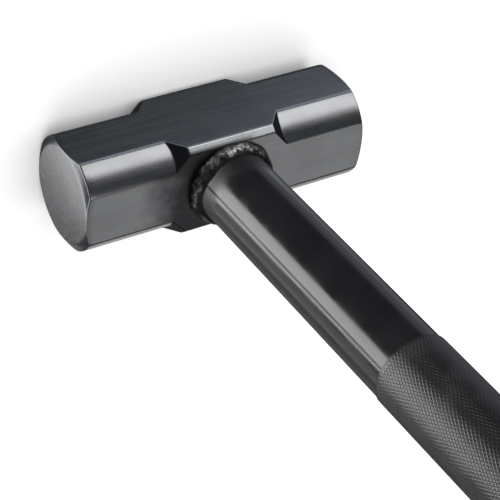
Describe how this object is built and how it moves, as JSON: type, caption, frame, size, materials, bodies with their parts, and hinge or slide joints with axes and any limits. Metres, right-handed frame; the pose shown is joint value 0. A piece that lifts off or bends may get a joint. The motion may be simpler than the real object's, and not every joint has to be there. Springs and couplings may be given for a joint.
{
  "type": "sledgehammer",
  "caption": "All-steel sledgehammer: square head with turned round striking ends, welded tube handle through the eye and a knurled steel grip, standing on its head.",
  "frame": {"origin": "middle of the far side of the head, on the surface that the hammer stands on, on the handle's axis", "axes": "+Z along the handle from the head to the butt, X along the head from one striking face to the other, Y across the head"},
  "size_m": [0.158, 0.051, 0.61],
  "materials": {
    "head_steel": "dark ground steel, satin, brighter on the turned ends and the block's chamfers",
    "handle_black": "smooth black oxide or black paint, satin gloss",
    "weld_metal": "rippled weld beads, dark grey with bright crests",
    "ground_weld": "ground flush with the head, satin",
    "grip_black": "black, with a fine diamond knurl"
  },
  "bodies": {
    "root": {"hammer_head": "head_steel", "handle_tube": "handle_black", "handle_weld": "weld_metal", "far_side_weld": "ground_weld", "eye_plug": "ground_weld", "knurled_grip": "grip_black", "butt_cap": "grip_black"}
  },
  "joints": []
}
